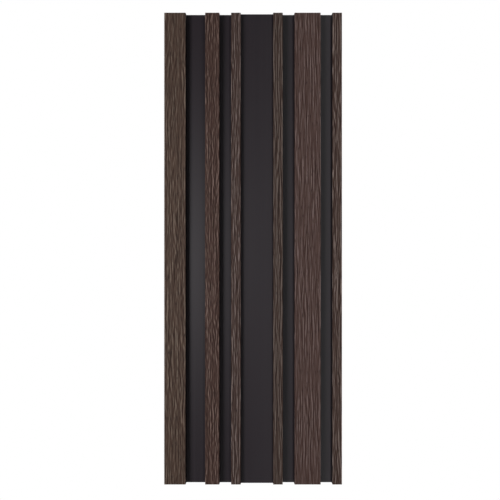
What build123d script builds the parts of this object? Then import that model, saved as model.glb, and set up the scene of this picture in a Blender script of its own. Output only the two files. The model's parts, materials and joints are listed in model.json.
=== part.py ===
from build123d import *

import os
from math import isclose, radians, tan

# Slatted wall panel, extruded in one piece from foamed polystyrene.
# The section lies in the XY plane and runs along Z. Seen from the front, +X is to the right.
# The back is the plane y = 0, which is glued to the wall, and the slats face -Y.
# The origin is the centre of the back. All sizes are in millimetres.

PANEL_LENGTH = 398.0

# Thickness, from the back to the groove floors and from there to what stands on them
WEB_THICKNESS = 4.0
SLAT_HEIGHT = 8.0
FIELD_HEIGHT = 2.5

# Widths across the front, measured at the slat faces
LEFT_SLAT = 18.0
MEDIUM_SLAT = 12.0
NARROW_SLAT = 8.0
BROAD_SLAT = 22.0
LEFT_GROOVE = 16.5
NARROW_GROOVE = 10.0
CENTRE_FIELD = 27.5

# Slat walls lean in towards the slat face, and the die rounds every edge
WALL_DRAFT_DEG = 2.0
ARRIS_RADIUS = 0.4
ROOT_RADIUS = 0.2

# Shallow grooves along the back that key the adhesive
KEY_GROOVE_WIDTH = 4.0
KEY_GROOVE_DEPTH = 1.0
KEY_GROOVE_PITCH = 12.0
KEY_GROOVE_FLANK_DEG = 30.0
BACK_EDGE_LAND = 6.0

# The front from left to right: the width of each band and how far it rises over the groove floors
FRONT_BANDS = [
    (LEFT_SLAT, SLAT_HEIGHT),
    (LEFT_GROOVE, 0.0),
    (MEDIUM_SLAT, SLAT_HEIGHT),
    (NARROW_GROOVE, 0.0),
    (NARROW_SLAT, SLAT_HEIGHT),
    (CENTRE_FIELD, FIELD_HEIGHT),
    (NARROW_SLAT, SLAT_HEIGHT),
    (NARROW_GROOVE, 0.0),
    (BROAD_SLAT, SLAT_HEIGHT),
    (NARROW_GROOVE, 0.0),
    (NARROW_SLAT, SLAT_HEIGHT),
]
PANEL_WIDTH = sum(width for width, rise in FRONT_BANDS)


def front_points():
    """The front's corners from left to right. The foot of each wall stands out by the draft."""
    half = PANEL_WIDTH / 2
    points = [(-half, -WEB_THICKNESS - FRONT_BANDS[0][1])]
    edge = -half
    for (width, rise), (_, next_rise) in zip(FRONT_BANDS, FRONT_BANDS[1:]):
        edge += width
        lean = (rise - next_rise) * tan(radians(WALL_DRAFT_DEG))
        points.append((edge + min(lean, 0.0), -WEB_THICKNESS - rise))
        points.append((edge + max(lean, 0.0), -WEB_THICKNESS - next_rise))
    points.append((half, -WEB_THICKNESS - FRONT_BANDS[-1][1]))
    return points


def corners_at(section, rise):
    """The section's corners on the level that rises this far over the groove floors."""
    depth = -WEB_THICKNESS - rise
    return section.vertices().filter_by(lambda corner: isclose(corner.Y, depth))


def plain_section():
    """The section with a flat back: slat faces end in rounded arrises, and walls in rounded roots."""
    half = PANEL_WIDTH / 2
    section = make_face(Polyline((half, 0.0), (-half, 0.0), *front_points(), close=True))
    section = fillet(corners_at(section, SLAT_HEIGHT), ARRIS_RADIUS)
    section = fillet(corners_at(section, FIELD_HEIGHT), ROOT_RADIUS)
    return fillet(corners_at(section, 0.0), ROOT_RADIUS)


def key_groove():
    """One adhesive groove, with its mouth on the back and flanks that close in towards its floor."""
    mouth = KEY_GROOVE_WIDTH / 2
    floor = mouth - KEY_GROOVE_DEPTH * tan(radians(KEY_GROOVE_FLANK_DEG))
    return make_face(
        Polyline(
            (-mouth, 0.0),
            (mouth, 0.0),
            (floor, -KEY_GROOVE_DEPTH),
            (-floor, -KEY_GROOVE_DEPTH),
            close=True,
        )
    )


def key_groove_places():
    """As many grooves as the back takes between its edge lands, with a land on the centre line."""
    reach = PANEL_WIDTH / 2 - BACK_EDGE_LAND - KEY_GROOVE_WIDTH / 2
    per_side = int(reach / KEY_GROOVE_PITCH + 0.5)
    return GridLocations(KEY_GROOVE_PITCH, 0.0, 2 * per_side, 1)


def wall_panel():
    """The section drawn out to length, equally above and below the origin, and sawn square."""
    section = plain_section() - key_groove_places() * key_groove()
    return extrude(section, PANEL_LENGTH / 2, both=True)


os.makedirs("parts", exist_ok=True)
panel = wall_panel()
panel.label = "wall_panel"
export_step(panel, "parts/wall_panel.step")
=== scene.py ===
import json
from math import radians, tan

import bmesh
import bpy
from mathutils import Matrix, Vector

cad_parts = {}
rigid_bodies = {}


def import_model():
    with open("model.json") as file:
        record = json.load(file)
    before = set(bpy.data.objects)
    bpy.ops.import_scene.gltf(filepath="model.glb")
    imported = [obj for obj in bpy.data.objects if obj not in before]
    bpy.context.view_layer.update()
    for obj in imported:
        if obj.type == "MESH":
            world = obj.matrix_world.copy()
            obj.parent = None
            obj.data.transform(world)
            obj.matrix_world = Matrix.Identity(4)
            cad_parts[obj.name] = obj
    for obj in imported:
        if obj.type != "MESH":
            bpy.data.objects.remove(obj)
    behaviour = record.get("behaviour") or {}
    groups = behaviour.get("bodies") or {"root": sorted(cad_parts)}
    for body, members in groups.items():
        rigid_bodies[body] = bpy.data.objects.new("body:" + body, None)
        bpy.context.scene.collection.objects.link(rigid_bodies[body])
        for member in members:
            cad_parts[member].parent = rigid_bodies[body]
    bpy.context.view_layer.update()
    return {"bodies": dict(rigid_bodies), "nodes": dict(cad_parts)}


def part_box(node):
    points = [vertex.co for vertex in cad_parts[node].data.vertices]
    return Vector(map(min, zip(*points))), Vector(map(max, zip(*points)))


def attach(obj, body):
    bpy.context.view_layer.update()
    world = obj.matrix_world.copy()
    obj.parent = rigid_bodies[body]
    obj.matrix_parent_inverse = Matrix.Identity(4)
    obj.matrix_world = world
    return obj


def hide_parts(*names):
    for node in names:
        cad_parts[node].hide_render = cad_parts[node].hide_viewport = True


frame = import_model()

# The panel is one rigid body and one node
[BODY] = frame["bodies"]
[NODE] = frame["nodes"]
CORE_SLOT = "polystyrene_core"
FILM_SLOT = "wood_effect_film"
MM = 0.001

# The panel's box, in metres: the back is the plane y = 0, the slats face -Y and the length is upright
panel_low, panel_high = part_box(NODE)
WIDTH = panel_high.x - panel_low.x
THICKNESS = panel_high.y - panel_low.y
LENGTH = panel_high.z - panel_low.z

# Section sizes, in millimetres
WEB_THICKNESS = 4.0
SLAT_HEIGHT = 8.0
FIELD_HEIGHT = 2.5
LEFT_SLAT = 18.0
MEDIUM_SLAT = 12.0
NARROW_SLAT = 8.0
BROAD_SLAT = 22.0
LEFT_GROOVE = 16.5
NARROW_GROOVE = 10.0
CENTRE_FIELD = 27.5
WALL_DRAFT_DEG = 2.0
ROOT_RADIUS = 0.2
FILM_THICKNESS = 0.4
FILM_ARRIS = 0.35
KEY_GROOVE_WIDTH = 4.0
KEY_GROOVE_DEPTH = 1.0
KEY_GROOVE_PITCH = 12.0
KEY_GROOVE_FLANK_DEG = 30.0
KEY_GROOVES_PER_SIDE = 6

# The front from left to right: what each band is and how wide
FRONT_BANDS = [
    ("slat", LEFT_SLAT),
    ("groove", LEFT_GROOVE),
    ("slat", MEDIUM_SLAT),
    ("groove", NARROW_GROOVE),
    ("slat", NARROW_SLAT),
    ("field", CENTRE_FIELD),
    ("slat", NARROW_SLAT),
    ("groove", NARROW_GROOVE),
    ("slat", BROAD_SLAT),
    ("groove", NARROW_GROOVE),
    ("slat", NARROW_SLAT),
]

# Strips are raised from a slab that lies between the floors of the key grooves and of the front grooves
SLAB_BACK = -KEY_GROOVE_DEPTH * MM
SLAB_FRONT = -WEB_THICKNESS * MM
FRONT = -1
BACK = 1

# A direction lies along an axis from this cosine on, and two places are the same within this distance
FLAT = 0.99
NEAR = 0.01 * MM

# How many flats a round has
ROOT_SEGMENTS = 3
ARRIS_SEGMENTS = 4

# Faces that meet at less than this angle are shaded as one round, with the most weight on large ones
SMOOTH_BELOW = radians(35)
LARGE_FACES_LEAD = 100

# A wall and a floor meet in an inner corner of more than this angle
INNER_CORNER = radians(45)


def select(piece, kind, test):
    """In edit mode, selects just the piece's faces or edges that pass a test."""
    bpy.ops.mesh.select_mode(type=kind)
    bpy.ops.mesh.select_all(action="DESELECT")
    mesh = bmesh.from_edit_mesh(piece.data)
    for part in {"FACE": mesh.faces, "EDGE": mesh.edges}[kind]:
        part.select_set(test(part))
    bmesh.update_edit_mesh(piece.data)


def middle(part):
    """The middle of a face or an edge."""
    return sum((corner.co for corner in part.verts), Vector()) / len(part.verts)


def runs_along(edge):
    """True for an edge along the panel's length."""
    one, two = (corner.co for corner in edge.verts)
    return abs((two - one).normalized().z) > FLAT


def smooth_rounds(piece):
    """Shades rounds smooth and keeps the flat faces beside them flat."""
    bpy.ops.object.shade_smooth_by_angle(angle=SMOOTH_BELOW)
    weighted = piece.modifiers.new("weighted normals", "WEIGHTED_NORMAL")
    weighted.keep_sharp = True
    weighted.weight = LARGE_FACES_LEAD
    bpy.ops.object.modifier_apply(modifier=weighted.name)


def block(name, centre, sizes):
    """A block at its size and place, in edit mode."""
    bpy.ops.object.select_all(action="DESELECT")
    bpy.ops.mesh.primitive_cube_add(size=1, location=centre, scale=sizes)
    piece = bpy.context.active_object
    piece.name = piece.data.name = name
    bpy.ops.object.transform_apply(location=True, rotation=False, scale=True)
    bpy.ops.object.mode_set(mode="EDIT")
    return piece


def bands(kind):
    """The left and right ends of each band of a kind, in millimetres."""
    left = -WIDTH / MM / 2
    ends = []
    for band, width in FRONT_BANDS:
        if band == kind:
            ends.append((left, left + width))
        left += width
    return ends


def lean(rise):
    """How far a wall this high stands out at its foot, in millimetres."""
    return rise * tan(radians(WALL_DRAFT_DEG))


def raise_strip(core, side, level, left, right, rise, lean_left, lean_right):
    """Cuts a strip out of the front or back at a level, draws it out and narrows it by its walls' lean.
    left and right are where the raised face ends. All in millimetres."""
    foot_left = left - lean_left
    foot_right = right + lean_right

    def on_level(face):
        return face.normal.y * side > FLAT and abs(middle(face).y - level * MM) < NEAR

    for x in (foot_left, foot_right):
        select(core, "FACE", on_level)
        bpy.ops.mesh.bisect(plane_co=(x * MM, 0, 0), plane_no=(1, 0, 0))
    select(core, "FACE", lambda face: on_level(face) and foot_left < middle(face).x / MM < foot_right)
    bpy.ops.mesh.extrude_region_move(TRANSFORM_OT_translate={"value": (0, side * rise * MM, 0)})
    anchor = left + (right - left) * lean_left / (lean_left + lean_right)
    bpy.ops.transform.resize(
        value=((right - left) / (foot_right - foot_left), 1, 1),
        center_override=(anchor * MM, 0, 0),
    )


def raise_front(core):
    """Raises the middle with its field first, then every slat up to the underside of its film."""
    slats = bands("slat")
    [(field_left, field_right)] = bands("field")
    over_field = SLAT_HEIGHT - FIELD_HEIGHT
    block_left = min(left for left, right in slats if right == field_left) - lean(over_field)
    block_right = max(right for left, right in slats if left == field_right) + lean(over_field)
    foot = lean(FIELD_HEIGHT)
    raise_strip(core, FRONT, -WEB_THICKNESS, block_left, block_right, FIELD_HEIGHT, foot, foot)
    for place, (left, right) in enumerate(slats):
        base = FIELD_HEIGHT if block_left < left < block_right else 0.0
        rise = SLAT_HEIGHT - base - FILM_THICKNESS
        lean_left = 0.0 if place == 0 else lean(rise)
        lean_right = 0.0 if place == len(slats) - 1 else lean(rise)
        raise_strip(core, FRONT, -WEB_THICKNESS - base, left, right, rise, lean_left, lean_right)


def raise_back(core):
    """Raises the lands between the key grooves, so that the grooves stay open at both ends."""
    half = WIDTH / MM / 2
    flank = KEY_GROOVE_DEPTH * tan(radians(KEY_GROOVE_FLANK_DEG))
    places = [(n + 0.5) * KEY_GROOVE_PITCH for n in range(-KEY_GROOVES_PER_SIDE, KEY_GROOVES_PER_SIDE)]
    starts = [-half] + [x + KEY_GROOVE_WIDTH / 2 for x in places]
    stops = [x - KEY_GROOVE_WIDTH / 2 for x in places] + [half]
    for left, right in zip(starts, stops):
        lean_left = 0.0 if left == -half else flank
        lean_right = 0.0 if right == half else flank
        raise_strip(core, BACK, -KEY_GROOVE_DEPTH, left, right, KEY_GROOVE_DEPTH, lean_left, lean_right)


def join_flat_faces(core, direction, reach):
    """Makes one face of all that lies in the plane of an end or an outer edge."""
    select(core, "FACE", lambda face: abs(middle(face).dot(direction) - reach) < NEAR)
    bpy.ops.mesh.dissolve_faces()


def is_root(edge):
    """True for the inner corner where a slat's wall meets a groove floor or the field."""
    in_front = middle(edge).y < SLAB_FRONT + NEAR
    return runs_along(edge) and in_front and edge.calc_face_angle_signed(0.0) < -INNER_CORNER


def model_core():
    """The extrusion without its film: a slab with slats and field raised in front and lands behind."""
    slab_middle = (0, (SLAB_BACK + SLAB_FRONT) / 2, 0)
    core = block("panel_core", slab_middle, (WIDTH, SLAB_BACK - SLAB_FRONT, LENGTH))
    raise_front(core)
    raise_back(core)
    for way in (-1, 1):
        join_flat_faces(core, Vector((way, 0, 0)), WIDTH / 2)
        join_flat_faces(core, Vector((0, 0, way)), LENGTH / 2)
    select(core, "EDGE", is_root)
    bpy.ops.mesh.bevel(offset=ROOT_RADIUS * MM, segments=ROOT_SEGMENTS, affect="EDGES")
    bpy.ops.object.mode_set(mode="OBJECT")
    smooth_rounds(core)
    return core


def model_film(number, left, right):
    """The film on one slat, from edge to edge of the slat's face, with both arrises rounded."""
    centre = ((left + right) / 2 * MM, -THICKNESS + FILM_THICKNESS / 2 * MM, 0)
    film = block(f"slat_film_{number}", centre, ((right - left) * MM, FILM_THICKNESS * MM, LENGTH))
    select(film, "EDGE", lambda edge: runs_along(edge) and middle(edge).y < -THICKNESS + NEAR)
    bpy.ops.mesh.bevel(offset=FILM_ARRIS * MM, segments=ARRIS_SEGMENTS, affect="EDGES")
    bpy.ops.object.mode_set(mode="OBJECT")
    smooth_rounds(film)
    return film


core = model_core()
films = [model_film(number, *ends) for number, ends in enumerate(bands("slat"), start=1)]
for piece, slot in [(core, CORE_SLOT)] + [(film, FILM_SLOT) for film in films]:
    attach(piece, BODY)
    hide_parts(NODE)


# A Mix node's colour sockets, which share their names with its other sockets
COLOUR_A = 6
COLOUR_B = 7
COLOUR_OUT = 2

# Most of a noise pattern lies between the first two values. The closer ones make it starker.
MOST = {"From Min": 0.3, "From Max": 0.7}
CLOSER = {"From Min": 0.35, "From Max": 0.65}


def linear(hex_colour):
    """A linear RGBA colour from an sRGB hex value."""
    channels = [int(hex_colour[i : i + 2], 16) / 255 for i in (1, 3, 5)]
    return [c / 12.92 if c <= 0.04045 else ((c + 0.055) / 1.055) ** 2.4 for c in channels] + [1.0]


def plug(tree, node, inputs):
    """Links a node's inputs to the sockets that are given for them, and sets the others to plain values."""
    for name, value in inputs.items():
        if isinstance(value, bpy.types.NodeSocket):
            tree.links.new(value, node.inputs[name])
        else:
            node.inputs[name].default_value = value


def add(tree, kind, inputs, out=0, stops=(), **settings):
    """Adds a shader node with its inputs, its settings and a ramp's colour stops. Gives one output."""
    node = tree.nodes.new("ShaderNode" + kind)
    for name, value in settings.items():
        setattr(node, name, value)
    plug(tree, node, inputs)
    for place, _ in stops[2:]:
        node.color_ramp.elements.new(place)
    for number, (place, colour) in enumerate(stops):
        node.color_ramp.elements[number].position = place
        node.color_ramp.elements[number].color = linear(colour)
    return node.outputs[out]


def new_material(name):
    """A material with its nodes, its shader and its Object coordinates in millimetres."""
    material = bpy.data.materials.new(name)
    material.use_nodes = True
    tree = material.node_tree
    metres = add(tree, "TexCoord", {}, "Object")
    point = add(tree, "VectorMath", {"Vector": metres, "Scale": 1 / MM}, operation="SCALE")
    return material, tree, tree.nodes["Principled BSDF"], point


# The film's pattern in millimetres. Sizes are across, through and along the panel. The embossed hairlines are
# really about half as wide, and are drawn wider so that they show.
FIBRE_SWAY = 1.4
SWAY_SIZE = (5.0, 5.0, 50.0)
FIGURE_SIZE = (7.0, 7.0, 40.0)
CLOUD_SIZE = (2.5, 2.5, 14.0)
PORE_SIZE = (0.5, 0.5, 7.0)
HAIRLINE_SIZE = (0.2, 0.2, 32.0)
LONG_FIBRE = 65.0
# How far in from each arris the film is painted paler, as a painted highlight
ARRIS_HIGHLIGHT_WIDTH = 0.6
EMBOSSING = 0.04

# Short and long fibres are these shares of their pitch wide, and are mixed. They stand out from an even tone,
# less where the figure is calm than where it is lively.
SHORT_FIBRE_WIDTH = 0.85
LONG_FIBRE_WIDTH = 0.9
LONG_FIBRE_SHARE = 0.45
EVEN_TONE = 0.5
CALM_STEP = 1.9
LIVELY_STEP = 4.0

# Only the lowest dips of their pattern are pores
PORE_DIPS = {"From Min": 0.39, "From Max": 0.29}

# How far hairlines change the tone, how high they stand beside a fibre, and how much paler the arrises are
# painted as a painted highlight
HAIRLINE_TONE = 0.3
HAIRLINE_RELIEF = 0.8
ARRIS_HIGHLIGHT_TONE = 1.25

# From the dark of a fibre's flank to its pale back
WOOD_TONES = [(0.0, "#362722"), (0.35, "#4d3c37"), (0.65, "#61524e"), (1.0, "#928784")]
PORE_COLOUR = "#2a201e"

# Each strip is cut from another part of the print, by its place across and along it, and has its own shade.
# A fibre's pitch and length are in millimetres. Contrast is how far the fibres stand out from each other,
# palest is as pale as they get, and clouding is how far the tone drifts.
FILM_PRINTS = [
    dict(shade="#e4d8c4", place=(0, 0), fibre=(1.1, 10), contrast=0.68, palest=0.86, clouding=0.17),
    dict(shade="#d8c1b6", place=(107, 770), fibre=(1.0, 8), contrast=0.9, palest=1.0, clouding=0.03),
    dict(shade="#ddd2cd", place=(133, 420), fibre=(0.95, 11), contrast=1.03, palest=1.0, clouding=0.03),
    dict(shade="#ddd7ce", place=(207, 770), fibre=(0.9, 14), contrast=1.13, palest=0.82, clouding=0.03),
    dict(shade="#f7e6e3", place=(290, 1130), fibre=(0.95, 16), contrast=0.8, palest=0.84, clouding=0.04),
    dict(shade="#e8ddd5", place=(371, 1490), fibre=(0.95, 12.5), contrast=1.14, palest=1.0, clouding=0.03),
]


def oak_fibres(tree, printed, woven, pitch, length, contrast, palest):
    """Fibres from 0, dark, to 1, pale. They are the step in a cloudy pattern from one side of a fibre to the
    other, so they leave no broad patches, and they stand out more in some places than in others."""
    sides = []
    for way in (-0.5, 0.5):
        beside = add(tree, "VectorMath", {0: woven, 1: (way * pitch, 0, 0)}, operation="ADD")
        runs = []
        for share, run in ((SHORT_FIBRE_WIDTH, length), (LONG_FIBRE_WIDTH, LONG_FIBRE)):
            size = (share * pitch, share * pitch, run)
            scaled = add(tree, "VectorMath", {0: beside, 1: size}, operation="DIVIDE")
            runs.append(add(tree, "TexNoise", {"Vector": scaled, "Scale": 1.0, "Detail": 1.0}))
        sides.append(add(tree, "Mix", {"Factor": LONG_FIBRE_SHARE, "A": runs[0], "B": runs[1]}))
    step = add(tree, "Math", {0: sides[1], 1: sides[0]}, operation="SUBTRACT")
    scaled = add(tree, "VectorMath", {0: printed, 1: FIGURE_SIZE}, operation="DIVIDE")
    figure = add(tree, "TexNoise", {"Vector": scaled, "Scale": 1.0, "Detail": 1.0})
    calm = CALM_STEP * contrast
    lively = LIVELY_STEP * contrast
    by_figure = {"Value": figure, **CLOSER, "To Min": calm, "To Max": lively}
    gain = add(tree, "MapRange", by_figure)
    stark = add(tree, "Math", {0: step, 1: gain, 2: EVEN_TONE}, operation="MULTIPLY_ADD")
    return add(tree, "Math", {0: stark, 1: palest}, operation="MINIMUM")


def film_lightness(tree, point, printed, hairlines, ends, clouding):
    """How light the film is, around 1: it changes by hairlines and slow clouds, and has a painted highlight
    at the arrises.
    """
    scaled = add(tree, "VectorMath", {0: printed, 1: CLOUD_SIZE}, operation="DIVIDE")
    clouds = add(tree, "TexNoise", {"Vector": scaled, "Scale": 1.0, "Detail": 2.0})
    left, right = ends
    half = (right - left) / 2
    x = add(tree, "SeparateXYZ", {0: point}, "X")
    off_centre = add(tree, "Math", {0: x, 1: left + half}, operation="SUBTRACT")
    outwards = add(tree, "Math", {0: off_centre}, operation="ABSOLUTE")
    highlight_from = half - ARRIS_HIGHLIGHT_WIDTH
    by_lines = {"Value": hairlines, **MOST, "To Min": 1 - HAIRLINE_TONE, "To Max": 1 + HAIRLINE_TONE}
    lines = add(tree, "MapRange", by_lines)
    drift = add(tree, "MapRange", {"Value": clouds, **MOST, "To Min": 1 - clouding, "To Max": 1 + clouding})
    # Painted highlight: the film is painted paler towards its arrises
    arris_highlight = {"Value": outwards, "From Min": highlight_from, "From Max": half, "To Min": 1.0, "To Max": ARRIS_HIGHLIGHT_TONE}
    inner = add(tree, "Math", {0: lines, 1: drift}, operation="MULTIPLY")
    return add(tree, "Math", {0: inner, 1: add(tree, "MapRange", arris_highlight)}, operation="MULTIPLY")


def decor_film(number, ends, shade, place, fibre, contrast, palest, clouding):
    """Film that is printed and embossed as oak: to the eye matte dark brown wood, with pale fibres that taper
    and weave along the slat, thin dark pores between them, and arrises painted a little paler as a painted
    highlight."""
    material, tree, shader, point = new_material(f"embossed dark oak decor film {number}")
    across, along = place
    printed = add(tree, "VectorMath", {0: point, 1: (across, 0, along)}, operation="ADD")
    scaled = add(tree, "VectorMath", {0: printed, 1: SWAY_SIZE}, operation="DIVIDE")
    sway = add(tree, "TexNoise", {"Vector": scaled, "Scale": 1.0, "Detail": 1.0})
    swayed = add(tree, "MapRange", {"Value": sway, "To Min": -FIBRE_SWAY, "To Max": FIBRE_SWAY})
    aside = add(tree, "CombineXYZ", {"X": swayed})
    woven = add(tree, "VectorMath", {0: printed, 1: aside}, operation="ADD")
    fibres = oak_fibres(tree, printed, woven, *fibre, contrast, palest)
    scaled = add(tree, "VectorMath", {0: woven, 1: PORE_SIZE}, operation="DIVIDE")
    dips = add(tree, "TexNoise", {"Vector": scaled, "Scale": 1.0, "Detail": 1.0})
    pores = add(tree, "MapRange", {"Value": dips, **PORE_DIPS})
    scaled = add(tree, "VectorMath", {0: woven, 1: HAIRLINE_SIZE}, operation="DIVIDE")
    hairlines = add(tree, "TexNoise", {"Vector": scaled, "Scale": 1.0, "Detail": 3.0, "Roughness": 0.65})

    # The wood's tones with dark pores, in this strip's shade, lighter and darker from place to place
    wood = add(tree, "ValToRGB", {"Fac": fibres}, stops=WOOD_TONES)
    with_pores = {"Factor": pores, COLOUR_A: wood, COLOUR_B: linear(PORE_COLOUR)}
    colour = add(tree, "Mix", with_pores, COLOUR_OUT, data_type="RGBA")
    for change in (linear(shade), film_lightness(tree, point, printed, hairlines, ends, clouding)):
        changed = {"Factor": 1.0, COLOUR_A: colour, COLOUR_B: change}
        colour = add(tree, "Mix", changed, COLOUR_OUT, data_type="RGBA", blend_type="MULTIPLY")

    # Fibres and hairlines are embossed proud, pores are sunk, and the fibres' backs are a little smoother
    proud = add(tree, "Math", {0: hairlines, 1: HAIRLINE_RELIEF, 2: fibres}, operation="MULTIPLY_ADD")
    relief = add(tree, "Math", {0: proud, 1: pores}, operation="SUBTRACT")
    bump = add(tree, "Bump", {"Height": relief, "Distance": EMBOSSING * MM, "Strength": 0.6})
    rough = add(tree, "MapRange", {"Value": fibres, "To Min": 0.74, "To Max": 0.62})
    plug(tree, shader, {"Base Color": colour, "Roughness": rough, "Normal": bump, "Specular IOR Level": 0.25})
    return material


# The core's patterns in millimetres, across, through and along the panel. Foam cells are really about 0.1 mm
# across, and are drawn larger so that they show.
DIE_LINE_SIZE = (0.9, 0.9, 500.0)
PEEL_SIZE = (1.6, 1.6, 4.0)
CELL_SIZE = 0.4
SCORE_SIZE = (0.5, 30.0, 30.0)
DRAG_SIZE = (0.4, 0.4, 120.0)
STREAK_SIZE = (1.4, 1.4, 260.0)
SCUFF_SIZE = (14.0, 14.0, 45.0)
PIT_SIZE = (0.7, 0.7, 1.1)

# A foam cell rises from its middle to its walls between these shares of its size
CELL_RISE = {"From Min": 0.1, "From Max": 0.7}

# Dust lies thinly on the high part of its pattern, and pits are the lowest dips of theirs
DUST_CREST = {"From Min": 0.5, "From Max": 0.75, "To Max": 0.35}
PIT_DIPS = {"From Min": 0.36, "From Max": 0.28}


def extruded_skin():
    """Black polystyrene as it leaves the die: to the eye a satin skin, whose soft highlight is drawn into
    faint lines along the length."""
    material, tree, shader, point = new_material("satin black extruded polystyrene")
    scaled = add(tree, "VectorMath", {0: point, 1: DIE_LINE_SIZE}, operation="DIVIDE")
    die_lines = add(tree, "TexNoise", {"Vector": scaled, "Scale": 1.0, "Detail": 3.0, "Roughness": 0.6})
    scaled = add(tree, "VectorMath", {0: point, 1: PEEL_SIZE}, operation="DIVIDE")
    peel = add(tree, "TexNoise", {"Vector": scaled, "Scale": 1.0, "Detail": 2.0})
    colour = add(tree, "ValToRGB", {"Fac": die_lines}, stops=[(0.3, "#211920"), (0.7, "#251c23")])
    rough = add(tree, "MapRange", {"Value": die_lines, **MOST, "To Min": 0.33, "To Max": 0.37})
    lines = add(tree, "Bump", {"Height": die_lines, "Distance": 0.004 * MM, "Strength": 0.5})
    skin = add(tree, "Bump", {"Height": peel, "Distance": 0.004 * MM, "Strength": 0.5, "Normal": lines})
    plug(tree, shader, {"Base Color": colour, "Roughness": rough, "Normal": skin, "Specular IOR Level": 0.55})
    return material


def sawn_foam():
    """The sawn ends: to the eye dull dark grey, pitted with foam cells and faintly scored by the blade."""
    material, tree, shader, point = new_material("sawn black foamed polystyrene")
    cells = add(tree, "TexVoronoi", {"Vector": point, "Scale": 1 / CELL_SIZE}, "Distance")
    walls = add(tree, "MapRange", {"Value": cells, **CELL_RISE})
    scaled = add(tree, "VectorMath", {0: point, 1: SCORE_SIZE}, operation="DIVIDE")
    scores = add(tree, "TexNoise", {"Vector": scaled, "Scale": 1.0, "Detail": 2.0})
    colour = add(tree, "ValToRGB", {"Fac": walls}, stops=[(0.0, "#161516"), (1.0, "#373536")])
    rough = add(tree, "MapRange", {"Value": scores, **MOST, "To Min": 0.75, "To Max": 0.92})
    pitted = add(tree, "Bump", {"Height": walls, "Distance": 0.08 * MM, "Strength": 0.6})
    scored = add(tree, "Bump", {"Height": scores, "Distance": 0.05 * MM, "Strength": 0.4, "Normal": pitted})
    plug(tree, shader, {"Base Color": colour, "Roughness": rough, "Normal": scored})
    return material


def dull_wall_painted_shade():
    """The slats' walls and their roots, dragged by the die: to the eye a dull black that hardly shines, and
    coloured darker than the skin as painted shade.
    """
    material, tree, shader, point = new_material("dull black polystyrene with painted shade")
    scaled = add(tree, "VectorMath", {0: point, 1: DRAG_SIZE}, operation="DIVIDE")
    drag = add(tree, "TexNoise", {"Vector": scaled, "Scale": 1.0, "Detail": 3.0, "Roughness": 0.6})
    # Painted shade: the walls and roots are coloured darker than the satin skin of the floors
    colour = add(tree, "ValToRGB", {"Fac": drag}, stops=[(0.3, "#161214"), (0.7, "#1d181b")])
    rough = add(tree, "MapRange", {"Value": drag, **MOST, "To Min": 0.78, "To Max": 0.9})
    bump = add(tree, "Bump", {"Height": drag, "Distance": 0.02 * MM, "Strength": 0.5})
    plug(tree, shader, {"Base Color": colour, "Roughness": rough, "Normal": bump, "Specular IOR Level": 0.15})
    return material


def matte_skin():
    """The back and the outer edges, which leave the die matte: to the eye charcoal, streaked along the length
    by the die, finely pitted where foam cells broke the skin, and a little dusty in places."""
    material, tree, shader, point = new_material("matte black extruded polystyrene")
    scaled = add(tree, "VectorMath", {0: point, 1: STREAK_SIZE}, operation="DIVIDE")
    streaks = add(tree, "TexNoise", {"Vector": scaled, "Scale": 1.0, "Detail": 4.0, "Roughness": 0.65})
    scaled = add(tree, "VectorMath", {0: point, 1: SCUFF_SIZE}, operation="DIVIDE")
    scuffs = add(tree, "TexNoise", {"Vector": scaled, "Scale": 1.0, "Detail": 3.0, "Roughness": 0.6})
    scaled = add(tree, "VectorMath", {0: point, 1: PIT_SIZE}, operation="DIVIDE")
    pits = add(tree, "TexNoise", {"Vector": scaled, "Scale": 1.0, "Detail": 2.0})
    colour = add(tree, "ValToRGB", {"Fac": streaks}, stops=[(0.3, "#1d181b"), (0.7, "#2e272b")])
    dust = add(tree, "MapRange", {"Value": scuffs, **DUST_CREST})
    sunk = add(tree, "MapRange", {"Value": pits, **PIT_DIPS})
    for share, tone in ((dust, "#3b3537"), (sunk, "#151113")):
        changed = {"Factor": share, COLOUR_A: colour, COLOUR_B: linear(tone)}
        colour = add(tree, "Mix", changed, COLOUR_OUT, data_type="RGBA")
    rough = add(tree, "MapRange", {"Value": scuffs, **MOST, "To Min": 0.48, "To Max": 0.68})
    lines = add(tree, "Bump", {"Height": streaks, "Distance": 0.03 * MM, "Strength": 0.6})
    holes = add(tree, "Bump", {"Height": pits, "Distance": 0.05 * MM, "Strength": 0.5, "Normal": lines})
    plug(tree, shader, {"Base Color": colour, "Roughness": rough, "Normal": holes, "Specular IOR Level": 0.2})
    return material


# The core's finishes, by the number of their material slots
SKIN, SAWN, WALL_PAINTED_SHADE, MATTE = range(4)


def finish_of(face):
    """Which of the core's finishes a face has, by where it lies and which way it faces."""
    if abs(face.normal.z) > FLAT:
        return SAWN
    if face.center.y > SLAB_BACK - NEAR or abs(face.center.x) > WIDTH / 2 - NEAR:
        return MATTE
    # Walls and roots get the dull finish, whose darker colour is painted shade
    return SKIN if abs(face.normal.y) > FLAT else WALL_PAINTED_SHADE


for finish in (extruded_skin(), sawn_foam(), dull_wall_painted_shade(), matte_skin()):
    core.data.materials.append(finish)
for face in core.data.polygons:
    face.material_index = finish_of(face)
for number, (film, ends) in enumerate(zip(films, bands("slat"))):
    film.data.materials.append(decor_film(number + 1, ends, **FILM_PRINTS[number]))

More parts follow.
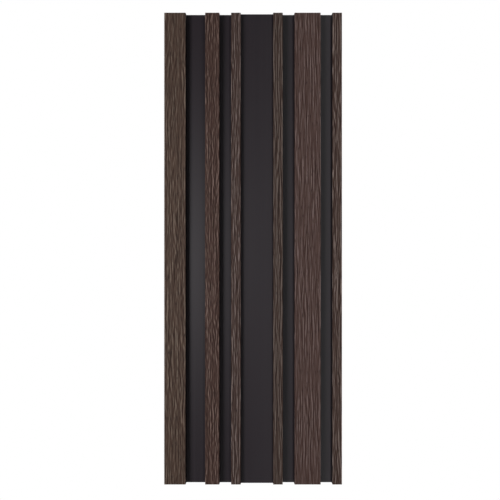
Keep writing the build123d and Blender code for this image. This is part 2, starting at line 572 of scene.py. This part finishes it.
# The camera is level with the panel's middle, as far off as the photo's perspective asks, and its frame is
# moved by a few of the photo's pixels.
CAMERA_DISTANCE = 0.8067
FRAME_WIDTH_AT_SLATS = 0.42175
PHOTO_WIDTH_PX = 500
FRAME_RIGHT_PX = -3.1
FRAME_UP_PX = -1.4
scene = bpy.context.scene
camera_data = bpy.data.cameras.new("camera")
camera_data.lens = camera_data.sensor_width * CAMERA_DISTANCE / FRAME_WIDTH_AT_SLATS
camera_data.shift_x = FRAME_RIGHT_PX / PHOTO_WIDTH_PX
camera_data.shift_y = FRAME_UP_PX / PHOTO_WIDTH_PX
camera = bpy.data.objects.new("camera", camera_data)
camera.location = (0, -THICKNESS - CAMERA_DISTANCE, 0)
camera.rotation_euler = (radians(90), 0, 0)
scene.collection.objects.link(camera)
scene.camera = camera
scene.view_settings.view_transform = "Standard"


def seen_rays(tree):
    """1 for what the camera sees straight, and 1 for what it sees in or through a surface."""
    straight = add(tree, "LightPath", {}, "Is Camera Ray")
    glossy = add(tree, "LightPath", {}, "Is Glossy Ray")
    through = add(tree, "LightPath", {}, "Is Transmission Ray")
    return straight, add(tree, "Math", {0: glossy, 1: through}, operation="MAXIMUM")


# The world is white all round for the camera. The panel has a white backdrop behind it and dark in front of
# it, so that its grooves show only the softboxes. The backdrop sets in by how far back a direction points.
BACKDROP_FILL = 0.35
BACKDROP_EDGE = {"From Min": -0.05, "From Max": 0.25}
scene.world = bpy.data.worlds.new("studio")
scene.world.use_nodes = True
studio = scene.world.node_tree
straight, mirrored = seen_rays(studio)
y = add(studio, "SeparateXYZ", {0: add(studio, "TexCoord", {}, "Generated")}, "Y")
behind = add(studio, "MapRange", {"Value": y, **BACKDROP_EDGE})
level = add(studio, "MapRange", {"Value": mirrored, "To Min": BACKDROP_FILL, "To Max": 1.0})
backdrop = add(studio, "Math", {0: behind, 1: level}, operation="MULTIPLY")
strength = add(studio, "Math", {0: straight, 1: backdrop}, operation="MAXIMUM")
plug(studio, studio.nodes["Background"], {"Color": linear("#ffffff"), "Strength": strength})

# The floor is a pale disc below the panel, which hangs on its wall. It fades into the backdrop towards its
# rim, and is pale to the camera but dark to the panel, so that it throws no light up into the grooves.
FLOOR_DROP = 0.25
FLOOR_RADIUS = 0.62
FLOOR_FADE_FROM = 0.37
FLOOR_GLOW = 0.75
FLOOR_TO_CAMERA = "#8c8c8b"
FLOOR_TO_PANEL = "#303030"
bpy.ops.object.select_all(action="DESELECT")
floor_middle = (0, 0, panel_low.z - FLOOR_DROP)
bpy.ops.mesh.primitive_circle_add(vertices=128, radius=FLOOR_RADIUS, fill_type="NGON", location=floor_middle)
floor = bpy.context.active_object
floor.name = floor.data.name = "floor"
floor_finish, tree, shader, point = new_material("pale matte studio floor")
floor.data.materials.append(floor_finish)
straight, mirrored = seen_rays(tree)
pale_or_dark = {"Factor": straight, COLOUR_A: linear(FLOOR_TO_PANEL), COLOUR_B: linear(FLOOR_TO_CAMERA)}
colour = add(tree, "Mix", pale_or_dark, COLOUR_OUT, data_type="RGBA")
seen = add(tree, "Math", {0: straight, 1: mirrored}, operation="MAXIMUM")
glow = add(tree, "Math", {0: seen, 1: FLOOR_GLOW}, operation="MULTIPLY")
plug(tree, shader, {"Base Color": colour, "Roughness": 0.9, "Specular IOR Level": 0.0})
plug(tree, shader, {"Emission Color": linear("#ffffff"), "Emission Strength": glow})
reach = add(tree, "VectorMath", {0: point}, "Value", operation="LENGTH")
fade = {"Value": reach, "From Min": FLOOR_FADE_FROM / MM, "From Max": FLOOR_RADIUS / MM}
rim = add(tree, "MapRange", fade)
clear = add(tree, "BsdfTransparent", {})
surface = add(tree, "MixShader", {"Fac": rim, 1: shader.outputs[0], 2: clear})
plug(tree, tree.nodes["Material Output"], {"Surface": surface})


def softbox(name, place, aim, width, height, power):
    """A rectangular lamp that faces a point, with its sizes in metres and its power in watts."""
    lamp = bpy.data.lights.new(name, "AREA")
    lamp.shape = "RECTANGLE"
    lamp.size = width
    lamp.size_y = height
    lamp.energy = power
    holder = bpy.data.objects.new(name, lamp)
    holder.location = place
    holder.rotation_euler = (Vector(aim) - Vector(place)).to_track_quat("-Z", "Y").to_euler()
    holder.visible_camera = False
    scene.collection.objects.link(holder)


# The key gives the grooves their sheen and shadows, the fill lights those shadows, and the grazing lamps even
# out the slats. The others stand behind the panel, and light its upper end, its back and its outer edges.
PANEL_MIDDLE = (0, 0, 0)
softbox("key", (-0.4195, -0.6811, -0.012), PANEL_MIDDLE, width=0.283, height=0.06, power=3.94)
softbox("fill", (0.16, -0.6017, 0.0), PANEL_MIDDLE, width=0.1, height=1.19, power=0.71)
softbox("grazing right", (0.6, -0.1, 0.0), PANEL_MIDDLE, width=0.05, height=1.3, power=1.75)
softbox("grazing upper", (0.0, -0.1, 0.6), PANEL_MIDDLE, width=0.5, height=0.05, power=0.5)
softbox("grazing lower", (0.0, -0.1, -0.6), PANEL_MIDDLE, width=0.5, height=0.05, power=0.5)
softbox("top", (0.0, 0.45, 0.95), (0, 0, -0.2), width=0.7, height=0.5, power=5.0)
softbox("rear left", (-0.8, 0.55, 0.3), PANEL_MIDDLE, width=0.8, height=1.2, power=11.0)
softbox("rear right", (0.9, 0.4, 0.1), PANEL_MIDDLE, width=0.5, height=1.2, power=8.0)
